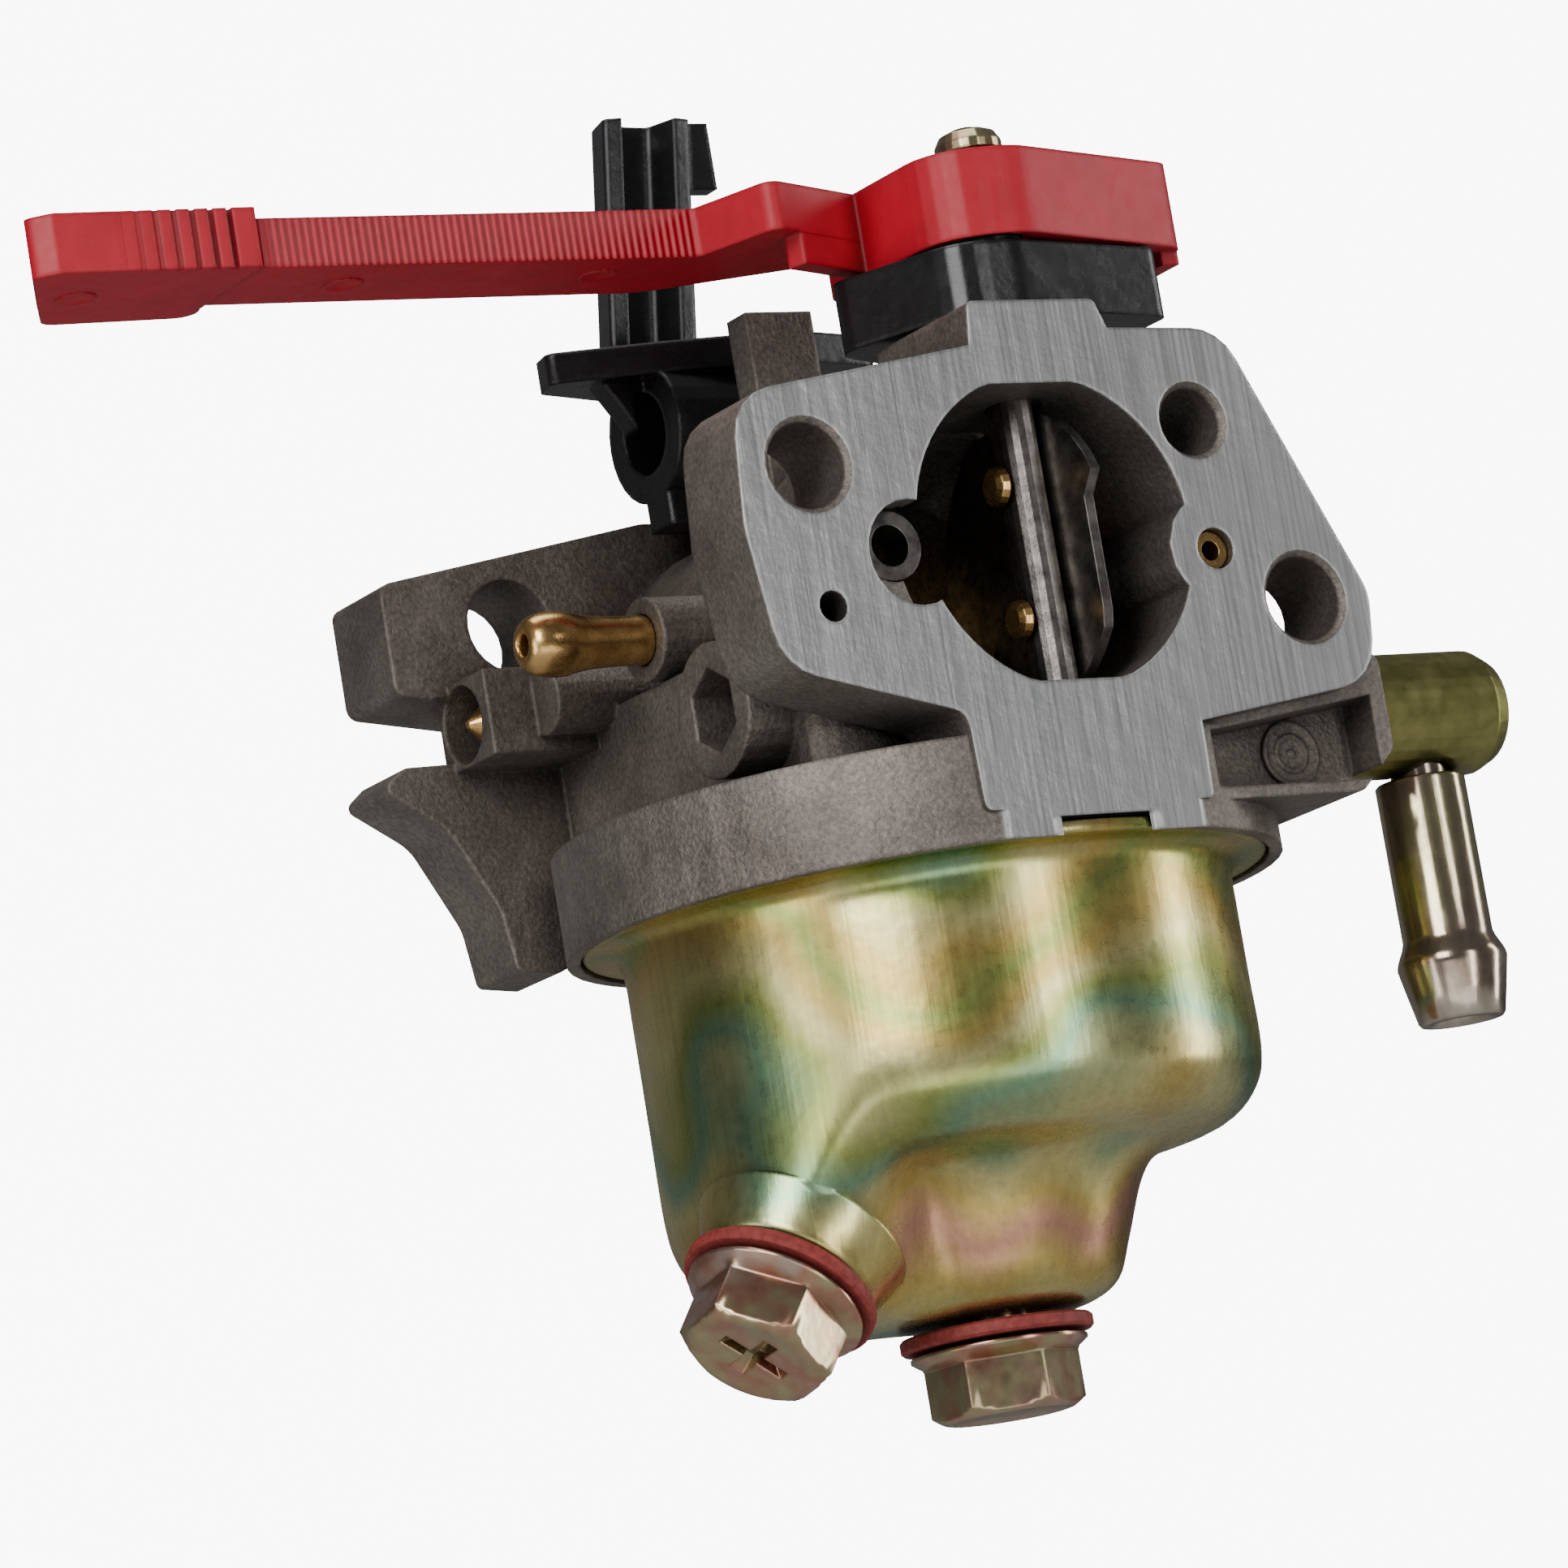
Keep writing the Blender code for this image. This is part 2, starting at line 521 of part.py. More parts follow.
def choke_lever():
    """Black lever base on the shaft, the red handle that caps it, and the screw on top."""
    origin = (*CHOKE, 0)
    base = add_object("choke_lever_base", plate(lever_base_outline(), 17.5, 22.8), "black_plastic", origin)
    add(base, rod(2.9, 22.0, 27.0, centre=origin))
    cut(base, rod(CHOKE_SHAFT_R + 0.05, 17.0, 28.0, centre=origin))

    cap = rounded([(-3.0, 20.6, 1.5), (-2.4, 4.4, 4.5), (3.6, 2.6, 5.0), (20.8, 7.6, 2.0),
                   (21.4, 12.0, 2.0), (20.4, 20.6, 2.0)], 5)
    room = rounded([(-1.2, 18.9, 1.0), (-0.8, 5.4, 3.0), (3.8, 4.4, 3.6), (19.2, 8.9, 1.0),
                    (19.7, 12.0, 1.0), (18.9, 18.9, 1.0)])
    handle = add_object("choke_handle", plate(cap, SKIRT_UNDER, LEVER_TOP), "red_plastic", origin)
    cut(handle, plate(room, SKIRT_UNDER - 1.0, 27.4), rod(3.25, SKIRT_UNDER - 0.9, 27.3, centre=origin))
    neck = rounded([(-1.4, 19.8, 0), (-1.4, 15.2, 0), (-12.2, 10.8, 1.0), (-14.8, 17.9, 0.5),
                    (-50.9, 19.2, 0), (-51.2, 28.6, 0), (-15.0, 27.2, 6.0)])
    web = [(-2.2, 14.9), (-9.6, 11.9), (-10.2, 13.4), (-2.2, 16.6)]
    grip = rounded([(-50.5, 18.1, 0.4), (-66.0, 19.2, 0.8), (-67.6, 20.6, 0.8), (-64.6, 26.6, 3.0),
                    (-61.6, 32.4, 1.5), (-49.9, 31.0, 1.5), (-50.6, 28.7, 0.4)])
    add(handle, plate(neck, LEVER_UNDER, LEVER_TOP - 0.04), plate(web, SKIRT_UNDER + 0.5, 27.0),
        plate(grip, LEVER_UNDER - 0.2, LEVER_TOP + 0.5), box((19.4, 8.6, 22.2), (20.9, 17.6, 24.4)))
    ribs = [box((-52.85 - 1.42 * i, 17.0, LEVER_UNDER - 0.6),
                (-52.4 - 1.42 * i, 18.75 + 0.02 * i, LEVER_TOP + 0.9)) for i in range(10)]
    cut(handle, merged(*ribs), rod(CHOKE_SHAFT_R * 0.8, 27.0, 31.0, centre=origin, sides=20))

    screw = add_object("choke_handle_screw", turned(
        [(0.9, 27.3), (1.3, 27.6), (1.3, 29.9 + GAP), (2.5, 29.9 + GAP), (2.5, 30.9), (2.1, 31.6),
         (1.2, 32.0), (0, 32.0)], "Z", origin, 24), "zinc_pink", origin)
    cut(screw, *cross_recess(1.4, 31.0, 32.6, "Z", origin))
    add_object("choke_shaft_seal", tube(3.4, 2.15, 15.9, 17.1, centre=origin), "rubber")


# ---------------------------------------------------------------- throttle

def throttle_valve():
    """Throttle shaft, its round plate and the plate's screws, a little open at rest."""
    origin = (*THROTTLE, 0)
    turn = Matrix.Translation(origin) @ Matrix.Rotation(THROTTLE_REST, 4, "Z")
    shaft = add_object("throttle_shaft", rod(THROTTLE_SHAFT_R, -14.3, 22.0, centre=origin), "steel", origin)
    recess = box((-4.0, -3.0, -8.9), (4.0, -0.3, 8.9))
    recess.transform(turn)
    cut(shaft, recess)
    for z in (-3.6, 3.6):
        hole = rod(0.95, -1.0, 3.0, "Y", (0, 0, z), 12)
        hole.transform(turn)
        cut(shaft, hole)
    disc = rod(THROTTLE_R - 0.25, -1.5, -0.6, "Y", (0, 0, 0), 36)
    disc.transform(turn)
    leaf = add_object("throttle_plate", disc, "brass", origin)
    for end, z in (("lower", -3.6), ("upper", 3.6)):
        hole = rod(0.95, -3.0, 0.0, "Y", (0, 0, z), 12)
        hole.transform(turn)
        cut(leaf, hole)
        screw = turned([(0.8, 1.5), (0.8, -1.8), (1.7, -1.8), (1.5, -2.5), (0.9, -2.8)], "Y",
                       (0, 0, z), 16)
        screw.transform(turn)
        add_object(f"throttle_plate_screw_{end}", screw, "brass", origin)
    add_object("throttle_shaft_seal", tube(3.7, 2.65, 11.7, 12.9, centre=origin), "rubber")


def throttle_lever():
    """Black lever on top of the throttle shaft: arms, link socket, stop lug and upright fork."""
    origin = (*THROTTLE, 0)
    arms = rounded([(-16.4, 39.4, 0.8), (-8.0, 36.6, 3.0), (2.0, 34.2, 3.0), (11.0, 36.4, 2.0),
                    (11.6, 39.6, 1.5), (5.0, 46.4, 4.0), (-4.0, 46.6, 4.0), (-15.8, 42.4, 0.8)])
    lever = add_object("throttle_lever", plate(arms, 22.6, 25.0), "black_plastic", origin)
    add(lever,
        rod(5.2, 13.3, 24.0, centre=origin),
        rod(5.4, -8.4, 0.0, "X", (0, 40.4, 18.75), 28),
        plate([(-12.4, 23.2), (-7.6, 23.2), (-2.0, 14.4), (-6.4, 14.4)], 39.4, 41.4, "Y"),
        plate(rounded([(-8.4, 38.4, 0.4), (-5.1, 38.4, 0), (-5.1, 42.0, 0), (-8.4, 42.0, 0.4)]),
              11.2, 16.0),
        box((-6.2, 38.9, 13.6), (-3.0, 41.6, 15.8)))
    fork = rounded([(-11.4, 38.2, 0.4), (-9.9, 38.0, 0), (-9.5, 40.2, 0.6), (-6.3, 40.5, 0.6),
                    (-5.2, 38.0, 0), (-3.6, 38.4, 0.4), (-4.2, 42.4, 1.2), (-10.5, 42.2, 1.2)])
    upright = plate(fork, 0.0, 18.6)
    upright.transform(Matrix.Translation((0, 0, 24.6)) @ Matrix.Shear("XY", 4, (0.14, 0.0)))
    tab = box((-2.2, 38.5, 37.6), (0.5, 40.2, 42.9))
    add(lever, upright, tab)
    cut(lever, rod(3.2, -9.4, -3.6, "X", (0, 40.4, 18.75), 24),
        rod(THROTTLE_SHAFT_R + 0.05, 12.0, 22.4, centre=origin))


# ---------------------------------------------------------------- fittings

def mixture_screw():
    """Idle mixture screw, its pointed end standing in a recess of the casting."""
    centre = (0, *MIXTURE)
    add_object("mixture_screw", turned([(0.3, -25.6), (1.8, -23.8), (2.1, -23.2), (2.1, -19.5),
                                        (1.45, -19.4), (1.45, -12.4), (0.5, -11.2)], "X", centre, 20),
               "brass", centre)


def fuel_inlet():
    """Fitting pressed in the casting, with the barbed hose tube brazed under it."""
    start, end = FITTING_X
    barrel = add_object("fuel_inlet_fitting", turned(
        [(2.8, start - 6.0), (2.8, start), (4.7, start), (4.7, end - 1.4), (4.0, end), (0, end)],
        "X", (0, *FITTING), 32), "zinc_yellow")
    cut(barrel, rod(1.6, start - 7.0, HOSE_X + 2.0, "X", (0, *FITTING), 16),
        rod(2.4, -20.0, -12.9, centre=(HOSE_X, FITTING[0], 0), sides=20))
    stem = add_object("fuel_hose_tube", turned(
        [(2.1, -16.2), (2.1, -17.9), (3.4, -17.9), (3.4, -30.2), (4.15, -31.6), (4.15, -32.2),
         (3.3, -36.4)], "Z", (HOSE_X, FITTING[0], 0), 28), "zinc_yellow")
    cut(stem, rod(1.7, -38.0, -15.0, centre=(HOSE_X, FITTING[0], 0), sides=20))


def primer_nipple():
    nipple = add_object("primer_nipple", turned(
        [(1.85, -13.8), (1.85, -18.4), (1.95, -22.6), (2.45, -24.8), (2.45, -26.4), (1.9, -27.8),
         (1.2, -28.3)], "X", (0, *NIPPLE), 24), "brass")
    cut(nipple, rod(0.8, -29.0, -13.0, "X", (0, *NIPPLE), 12))


def main():
    clear_scene()
    root = bpy.data.objects.new("carburetor", None)
    root.location = (0.0, -LENGTH * MM, 0.0)
    bpy.context.scene.collection.objects.link(root)
    carburetor_body()
    float_bowl()
    bowl_gasket()
    bowl_fasteners()
    float_parts()
    needle_parts()
    jets()
    choke_valve()
    choke_lever()
    throttle_valve()
    throttle_lever()
    mixture_screw()
    fuel_inlet()
    primer_nipple()


main()
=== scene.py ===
"""Looks of a small-engine float-bowl carburetor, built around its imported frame.

Every sub-assembly is a class: it dresses the frame's own pieces, and builds finer meshes where a
turned, pressed or moulded surface needs them. Sizes are millimetres, measured as on the drawing,
from the bore's centre on the air inlet face: +X towards the fuel inlet, +Y towards the engine,
+Z up. The engine face lies LENGTH further along +Y, and it is where the frame has its origin.
"""

import logging
import math
from collections.abc import Callable, Sequence
from dataclasses import dataclass, field
from enum import Enum

import bmesh
import bpy
from mathutils import Matrix, Vector


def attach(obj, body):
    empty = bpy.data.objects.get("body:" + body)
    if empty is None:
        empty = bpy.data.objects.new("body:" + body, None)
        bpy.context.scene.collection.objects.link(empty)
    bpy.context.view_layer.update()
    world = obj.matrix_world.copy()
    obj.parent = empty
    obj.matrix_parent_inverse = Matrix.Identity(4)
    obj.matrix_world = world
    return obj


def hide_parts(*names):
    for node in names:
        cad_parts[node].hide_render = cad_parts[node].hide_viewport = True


MM = 0.001
LENGTH = 53.7
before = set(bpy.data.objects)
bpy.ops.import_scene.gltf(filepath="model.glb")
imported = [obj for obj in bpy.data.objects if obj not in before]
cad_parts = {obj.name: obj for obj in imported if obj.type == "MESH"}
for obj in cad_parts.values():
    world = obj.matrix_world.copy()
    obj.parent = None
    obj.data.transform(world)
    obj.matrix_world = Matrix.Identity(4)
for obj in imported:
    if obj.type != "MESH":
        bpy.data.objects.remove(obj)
log = logging.getLogger("carburetor")

Colour = tuple[float, float, float]
Point = tuple[float, float, float]
Section = Sequence[tuple[float, float]]
Socket = bpy.types.NodeSocket
WHITE = (1.0, 1.0, 1.0)
SHARP = math.radians(38)


class Body(Enum):
    """The frame's bodies that carry meshes made here."""

    BODY = "body"
    CHOKE = "choke"


class Slot(Enum):
    """Material slots of the record."""

    CASTING = "casting"
    BOWL = "bowl_zinc"
    BOLT = "bolt_zinc"
    FITTING = "fitting_zinc"
    TUBE = "tube_zinc"
    FIBRE = "fibre"
    RUBBER = "rubber"
    FLOAT = "float_plastic"
    STEEL = "steel"
    BRASS = "brass"
    BLACK = "black_plastic"
    RED = "red_plastic"


# ---------------------------------------------------------------- shading

class Graph:
    """Builder for the node tree of one material, working in millimetres."""

    samples = 6
    noise_roughness = 0.6
    # ambient occlusion level at which the painted crevice shade is darkest
    open_share = 0.25

    def __init__(self, name: str) -> None:
        """Start a material with its Principled shader.

        Args:
            name: Name of the material.
        """
        self.material = bpy.data.materials.new(name)
        self.material.use_nodes = True
        self.tree = self.material.node_tree
        self.shader = self.tree.nodes["Principled BSDF"]
        coordinates = self.add("ShaderNodeTexCoord")
        self.place = self.add("ShaderNodeMapping", {"Vector": coordinates.outputs["Object"],
                                                    "Location": (0.0, LENGTH, 0.0),
                                                    "Scale": (1.0 / MM,) * 3}).outputs[0]
        axes = self.add("ShaderNodeSeparateXYZ", {0: self.place})
        self.x, self.y, self.z = axes.outputs
        normal = self.add("ShaderNodeNewGeometry").outputs["Normal"]
        self.facing = self.add("ShaderNodeSeparateXYZ", {0: normal}).outputs

    def add(self, kind: str, inputs: dict | None = None, **settings: object) -> bpy.types.Node:
        """Add a node.

        Args:
            kind: Blender's name of the node type.
            inputs: Values or sockets, by input name or number.
            **settings: Properties of the node.

        Returns:
            The node.
        """
        node = self.tree.nodes.new(kind)
        for key, value in settings.items():
            setattr(node, key, value)
        for key, value in (inputs or {}).items():
            self.feed(node.inputs[key], value)
        return node

    def feed(self, target: Socket, value: object) -> None:
        """Set an input to a constant, or link a socket to it.

        Args:
            target: The input.
            value: A socket, a number, a vector or a colour.
        """
        if isinstance(value, bpy.types.NodeSocket):
            self.tree.links.new(value, target)
        elif target.type == "RGBA" and len(value) == 3:
            target.default_value = (*value, 1.0)
        else:
            target.default_value = value

    def math(self, operation: str, a: object, b: object = 0.0) -> Socket:
        """One arithmetic step."""
        return self.add("ShaderNodeMath", {0: a, 1: b}, operation=operation).outputs[0]

    def between(self, value: Socket, low: float, high: float) -> Socket:
        """Smooth step from 0 at low to 1 at high."""
        return self.add("ShaderNodeMapRange", {"Value": value, "From Min": low, "From Max": high},
                        interpolation_type="SMOOTHSTEP").outputs[0]

    def spread(self, value: Socket, low: float, high: float) -> Socket:
        """A value from 0 to 1, spread between low and high."""
        return self.add("ShaderNodeMapRange", {"Value": value, "To Min": low,
                                               "To Max": high}).outputs[0]

    def stretch(self, scale: Point) -> Socket:
        """Coordinates scaled along each axis."""
        return self.add("ShaderNodeMapping", {"Vector": self.place, "Scale": scale}).outputs[0]

    def noise(self, scale: float | Point, detail: float = 4.0) -> Socket:
        """Noise between 0 and 1.

        Args:
            scale: Its scale per millimetre, or one for each axis.
            detail: How many finer layers it has.

        Returns:
            The noise socket.
        """
        vector = self.place
        if isinstance(scale, tuple):
            vector, scale = self.stretch(scale), 1.0
        return self.add("ShaderNodeTexNoise", {"Vector": vector, "Scale": scale, "Detail": detail,
                                               "Roughness": self.noise_roughness}).outputs[0]

    def ramp(self, value: Socket, stops: Sequence[tuple[float, Colour]]) -> Socket:
        """Colour ramp.

        Args:
            value: Where on the ramp to read.
            stops: Position and colour of each stop.

        Returns:
            The colour socket.
        """
        node = self.add("ShaderNodeValToRGB", {0: value})
        elements = node.color_ramp.elements
        while len(elements) < len(stops):
            elements.new(0.5)
        for element, (at, colour) in zip(elements, stops):
            element.position = at
            element.color = (*colour, 1.0)
        return node.outputs[0]

    def mix(self, share: object, a: object, b: object, blend: str = "MIX") -> Socket:
        """Mix of two colours.

        Args:
            share: How much of the second there is.
            a: The first colour.
            b: The second colour.
            blend: Blender's name of the way they mix.

        Returns:
            The colour socket.
        """
        node = self.add("ShaderNodeMix", data_type="RGBA", blend_type=blend)
        factor, colour_a, colour_b, result = 0, 6, 7, 2
        for index, value in ((factor, share), (colour_a, a), (colour_b, b)):
            self.feed(node.inputs[index], value)
        return node.outputs[result]

    def shade(self, colour: object, distance: float, floor: float) -> Socket:
        """Paint shade into a colour in crevices, from ambient occlusion.

        Args:
            colour: The colour.
            distance: Width of the crevices in millimetres.
            floor: What is left of the colour in the deepest ones.

        Returns:
            The colour socket.
        """
        # painted shade: ambient occlusion darkens the colour in crevices, down to floor
        node = self.add("ShaderNodeAmbientOcclusion", {"Distance": distance * MM},
                        samples=self.samples)
        share = self.add("ShaderNodeMapRange", {"Value": node.outputs["AO"], "To Min": floor,
                                                "From Min": self.open_share}).outputs[0]
        return self.mix(1.0, colour, share, "MULTIPLY")

    def relief(self, layers: Sequence[tuple[Socket, float]], edge: float) -> Socket:
        """Surface normal with rounded edges and a stack of bumps.

        Args:
            layers: Height sockets, each with its depth in millimetres.
            edge: Radius of the rounded edges in millimetres.

        Returns:
            The normal socket.
        """
        normal = self.add("ShaderNodeBevel", {"Radius": edge * MM},
                          samples=self.samples).outputs[0]
        for height, depth in layers:
            normal = self.add("ShaderNodeBump", {"Height": height, "Distance": depth * MM,
                                                 "Normal": normal}).outputs[0]
        return normal

    def finish(self, **values: object) -> bpy.types.Material:
        """Feed the shader's inputs.

        Args:
            **values: Values or sockets, by input name in small letters with underscores.

        Returns:
            The material.
        """
        for key, value in values.items():
            self.feed(self.shader.inputs[key.replace("_", " ").title()], value)
        return self.material


@dataclass(frozen=True)
class CastFinish:
    """Die-cast aluminium: mottled skin, and a milled face at the air inlet."""

    skin: Colour = (0.165, 0.143, 0.126)
    stain: Colour = (0.300, 0.268, 0.240)
    milled: Colour = (0.54, 0.545, 0.54)
    milled_dark: Colour = (0.40, 0.405, 0.40)
    cast_rough: float = 0.56
    milled_rough: float = 0.40
    edge: float = 0.45

    def material(self) -> bpy.types.Material:
        """Make the material.

        Returns:
            The material.
        """
        g = Graph("cast aluminium")
        front = g.math("MULTIPLY", g.between(g.y, 0.2, 0.06), g.between(g.facing[1], -0.7, -0.95))
        mottle = g.ramp(g.noise(0.11, 6.0), [(0.32, self.skin), (0.66, self.stain)])
        speckle = g.ramp(g.noise(2.6, 2.0), [(0.35, (0.72, 0.72, 0.72)), (0.7, (1.15, 1.13, 1.1))])
        cast = g.mix(1.0, mottle, speckle, "MULTIPLY")
        lines = g.noise((3.4, 0.4, 0.05), 3.0)
        swirl = g.noise((0.35, 0.3, 0.05), 2.0)
        tint = g.ramp(lines, [(0.3, (0.62, 0.63, 0.63)), (0.7, (1.2, 1.2, 1.18))])
        cut = g.mix(1.0, g.mix(swirl, self.milled, self.milled_dark), tint, "MULTIPLY")
        # painted shade in the casting's crevices, from ambient occlusion
        colour = g.shade(g.mix(front, cast, cut), 3.2, 0.42)
        rough = g.spread(front, self.cast_rough, self.milled_rough)
        grain = g.math("MULTIPLY", g.noise(3.2, 3.0), g.math("SUBTRACT", 1.0, front))
        normal = g.relief([(grain, 0.10), (g.noise(0.5, 3.0), 0.12),
                           (g.math("MULTIPLY", lines, front), 0.02)], self.edge)
        return g.finish(base_color=colour, metallic=0.82, roughness=rough, normal=normal)


@dataclass(frozen=True)
class ZincFinish:
    """Chromated zinc plate: bands of interference colour over a bright steel."""

    name: str
    bands: tuple[Colour, ...]
    roughness: float = 0.26
    wander: float = 0.035
    streaks: Point = (1.6, 1.6, 0.03)
    edge: float = 0.3
    climb: float = 0.045

    def material(self) -> bpy.types.Material:
        """Make the material.

        Returns:
            The material.
        """
        g = Graph(self.name)
        drift = g.noise(self.wander, 2.0)
        height = g.math("MULTIPLY", g.z, self.climb)
        phase = g.math("PINGPONG", g.math("ADD", g.math("MULTIPLY", drift, 2.0), height), 1.0)
        last = len(self.bands) - 1
        bands = g.ramp(phase, [(i / last, colour) for i, colour in enumerate(self.bands)])
        brush = g.noise(self.streaks, 3.0)
        tint = g.ramp(brush, [(0.3, (0.88, 0.88, 0.86)), (0.7, (1.08, 1.08, 1.06))])
        dust = g.ramp(g.noise(1.4, 4.0), [(0.26, (0.90, 0.88, 0.85)), (0.42, WHITE)])
        colour = g.mix(1.0, g.mix(1.0, bands, tint, "MULTIPLY"), dust, "MULTIPLY")
        rough = g.spread(g.noise(0.7, 3.0), self.roughness - 0.05, self.roughness + 0.09)
        normal = g.relief([(brush, 0.012), (g.noise(0.4, 2.0), 0.03)], self.edge)
        # painted shade in crevices, from ambient occlusion, over the zinc colour
        return g.finish(base_color=g.shade(colour, 2.0, 0.5), metallic=0.97, roughness=rough,
                        normal=normal)


@dataclass(frozen=True)
class PlasticFinish:
    """Moulded plastic, with fine ribs along one side where the moulding has them."""

    name: str
    colour: Colour
    shade: Colour
    roughness: float
    ribs: bool = False
    edge: float = 0.5
    ribbed: tuple[float, float] = (-50.8, -14.6)
    rib_depth: float = 0.22

    def material(self) -> bpy.types.Material:
        """Make the material.

        Returns:
            The material.
        """
        g = Graph(self.name)
        cloud = g.ramp(g.noise(0.25, 4.0), [(0.3, self.shade), (0.7, self.colour)])
        layers = [(g.noise(2.2, 3.0), 0.014), (g.noise(0.35, 2.0), 0.05)]
        if self.ribs:
            first, last = self.ribbed
            along = g.math("MULTIPLY", g.between(g.x, first, first + 0.4),
                           g.between(g.x, last, last - 0.8))
            side = g.math("MULTIPLY", along, g.between(g.facing[1], -0.6, -0.9))
            wave = g.add("ShaderNodeTexWave", {"Vector": g.stretch((0.5, 0.0, 0.0)), "Scale": 1.0},
                         bands_direction="X").outputs[1]
            layers.append((g.math("MULTIPLY", wave, side), self.rib_depth))
        scuff = g.spread(g.noise(0.9, 5.0), self.roughness - 0.06, self.roughness + 0.14)
        # painted shade in crevices, from ambient occlusion, over the plastic colour
        return g.finish(base_color=g.shade(cloud, 2.5, 0.55), roughness=scuff,
                        normal=g.relief(layers, self.edge))


@dataclass(frozen=True)
class MetalFinish:
    """Turned or rolled metal, with a faint grain and stains."""

    name: str
    colour: Colour
    stain: Colour
    roughness: float = 0.28
    edge: float = 0.12

    def material(self) -> bpy.types.Material:
        """Make the material.

        Returns:
            The material.
        """
        g = Graph(self.name)
        cloud = g.ramp(g.noise(0.6, 4.0), [(0.34, self.stain), (0.62, self.colour)])
        grain = g.noise((5.0, 5.0, 5.0), 2.0)
        rough = g.spread(g.noise(1.4, 4.0), self.roughness - 0.06, self.roughness + 0.14)
        normal = g.relief([(grain, 0.012)], self.edge)
        # painted shade in crevices, from ambient occlusion, over the metal colour
        return g.finish(base_color=g.shade(cloud, 1.5, 0.5), metallic=0.97, roughness=rough,
                        normal=normal)


@dataclass(frozen=True)
class SoftFinish:
    """Fibre and rubber: dull, with a fine grain."""

    name: str
    colour: Colour
    fleck: Colour
    roughness: float = 0.75
    edge: float = 0.15

    def material(self) -> bpy.types.Material:
        """Make the material.

        Returns:
            The material.
        """
        g = Graph(self.name)
        cloud = g.ramp(g.noise(1.8, 5.0), [(0.35, self.colour), (0.72, self.fleck)])
        normal = g.relief([(g.noise(4.0, 4.0), 0.05)], self.edge)
        # painted shade in crevices, from ambient occlusion, over the fibre or rubber colour
        return g.finish(base_color=g.shade(cloud, 1.5, 0.6), roughness=self.roughness,
                        normal=normal)


@dataclass(frozen=True)
class BackdropFinish:
    """Seamless pale paper, lit evenly from behind without lighting the part."""

    colour: Colour = (0.42, 0.42, 0.43)
    glow: float = 9.0
    roughness: float = 0.9

    def material(self) -> bpy.types.Material:
        """Make the material.

        Returns:
            The material.
        """
        g = Graph("backdrop paper")
        seen = g.add("ShaderNodeLightPath").outputs["Is Camera Ray"]
        return g.finish(base_color=self.colour, roughness=self.roughness, emission_color=WHITE,
                        emission_strength=g.math("MULTIPLY", seen, self.glow))


class Palette:
    """The finishes of the whole part, each made once."""

    def __init__(self) -> None:
        """Make every material."""
        gold, green, teal = (0.62, 0.46, 0.14), (0.36, 0.42, 0.12), (0.27, 0.45, 0.27)
        rose, straw = (0.62, 0.32, 0.22), (0.70, 0.64, 0.28)
        copper, bronze, olive = (0.62, 0.40, 0.28), (0.60, 0.52, 0.30), (0.34, 0.31, 0.11)
        finishes = {
            Slot.CASTING: CastFinish(),
            Slot.BOWL: ZincFinish(
                "bowl zinc", (green, gold, straw, green, teal, straw, gold, rose)),
            Slot.BOLT: ZincFinish(
                "bolt zinc", (copper, bronze, rose, (0.68, 0.52, 0.42)),
                roughness=0.2, wander=0.22, streaks=(0.6, 0.6, 0.2), edge=0.25),
            Slot.FITTING: ZincFinish(
                "fitting zinc", (olive, (0.25, 0.24, 0.08), (0.40, 0.36, 0.14)),
                roughness=0.34, wander=0.3, streaks=(0.9, 0.9, 0.9)),
            Slot.TUBE: ZincFinish(
                "tube zinc", ((0.50, 0.45, 0.26), (0.46, 0.35, 0.28), (0.62, 0.58, 0.46)),
                roughness=0.16, wander=0.15),
            Slot.FIBRE: SoftFinish(
                "red fibre", (0.20, 0.018, 0.014), (0.34, 0.05, 0.04), roughness=0.6),
            Slot.RUBBER: SoftFinish(
                "black rubber", (0.012, 0.012, 0.013), (0.03, 0.03, 0.03)),
            Slot.FLOAT: PlasticFinish(
                "float plastic", (0.05, 0.05, 0.055), (0.03, 0.03, 0.03), roughness=0.5),
            Slot.STEEL: MetalFinish(
                "dark steel", (0.24, 0.22, 0.20), (0.10, 0.09, 0.085)),
            Slot.BRASS: MetalFinish(
                "turned brass", (0.78, 0.50, 0.19), (0.52, 0.30, 0.10), roughness=0.22),
            Slot.BLACK: PlasticFinish(
                "black nylon", (0.012, 0.012, 0.013), (0.006, 0.006, 0.007), roughness=0.22),
            Slot.RED: PlasticFinish(
                "red plastic", (0.52, 0.005, 0.022), (0.42, 0.004, 0.016), roughness=0.42,
                ribs=True),
        }
        self.materials = {slot: finish.material() for slot, finish in finishes.items()}

    def __getitem__(self, slot: Slot) -> bpy.types.Material:
        """The material of a slot."""
        return self.materials[slot]


# ---------------------------------------------------------------- meshes

def to_frame() -> Matrix:
    """Move from drawing millimetres to the frame's metres."""
    return Matrix.Scale(MM, 4) @ Matrix.Translation((0.0, -LENGTH, 0.0))


def tilted(axis: Vector, centre: Vector) -> Matrix:
    """Move that turns +Z to an axis and puts the origin at a centre."""
    turn = Vector((0, 0, 1)).rotation_difference(axis).to_matrix().to_4x4()
    return Matrix.Translation(centre) @ turn


def smooth(points: Section, steps: int) -> list[tuple[float, float]]:
    """Curve through the points of a section.

    Args:
        points: Radius and height pairs.
        steps: Points added on each span.

    Returns:
        The denser section.
    """
    result = []
    for k in range(len(points) - 1):
        p0, p1, p2, p3 = (Vector(points[min(max(k + d, 0), len(points) - 1)])
                          for d in (-1, 0, 1, 2))
        for i in range(steps):
            t = i / steps
            spot = (2 * p1 + (p2 - p0) * t + (2 * p0 - 5 * p1 + 4 * p2 - p3) * t * t
                    + (3 * p1 - p0 - 3 * p2 + p3) * t ** 3) / 2
            result.append((spot.x, spot.y))
    return result + [tuple(points[-1])]


